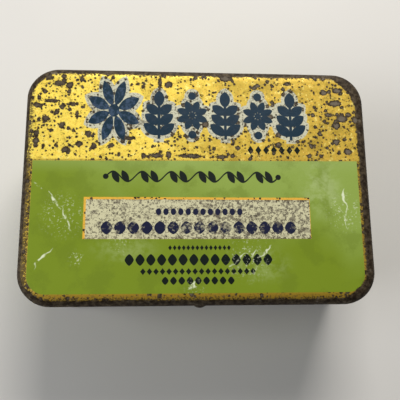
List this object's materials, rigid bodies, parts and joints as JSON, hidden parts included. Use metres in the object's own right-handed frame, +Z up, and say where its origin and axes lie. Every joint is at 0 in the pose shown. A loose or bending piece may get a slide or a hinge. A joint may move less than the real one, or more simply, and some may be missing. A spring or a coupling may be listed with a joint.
{
  "type": "hinged spice tin",
  "caption": "Shallow rectangular tinplate box with rounded corners: a hinged, hemmed lid closes over a curled rim, and a double seam holds the recessed bottom.",
  "frame": {"origin": "centre of the lid's outline, on the plane that the bottom seam rests on", "axes": "+X along the length, +Y towards the hinges at the rear, +Z up through the lid"},
  "size_m": [0.086, 0.0614, 0.032],
  "materials": {
    "printed_lid": "gloss lithographed tinplate in gold and leaf green, worn and rust freckled",
    "printed_body": "gloss gold lacquered tinplate with a green band, rust freckled",
    "bare_tinplate": "dull aged tinplate",
    "hinge_tinplate": "dull aged tinplate with brown rust",
    "pin_wire": "dull steel wire",
    "solder": "dull grey solder"
  },
  "bodies": {
    "tin_body": {"body_wall": "printed_body", "bottom_end": "bare_tinplate", "side_seam_solder": "solder", "body_hinge_leaf_left": "hinge_tinplate", "body_hinge_solder_left": "solder", "hinge_pin_left": "pin_wire", "body_hinge_leaf_right": "hinge_tinplate", "body_hinge_solder_right": "solder", "hinge_pin_right": "pin_wire"},
    "lid": {"lid_shell": "printed_lid", "lid_hinge_leaf_left": "hinge_tinplate", "lid_hinge_solder_left": "solder", "lid_hinge_leaf_right": "hinge_tinplate", "lid_hinge_solder_right": "solder"}
  },
  "joints": [
    {"name": "lid_hinge", "type": "hinge", "parent": "tin_body", "child": "lid", "pos_m": [0, 0.03045, 0.02385], "axis": [-1, 0, 0], "range_deg": [0, 190]}
  ]
}
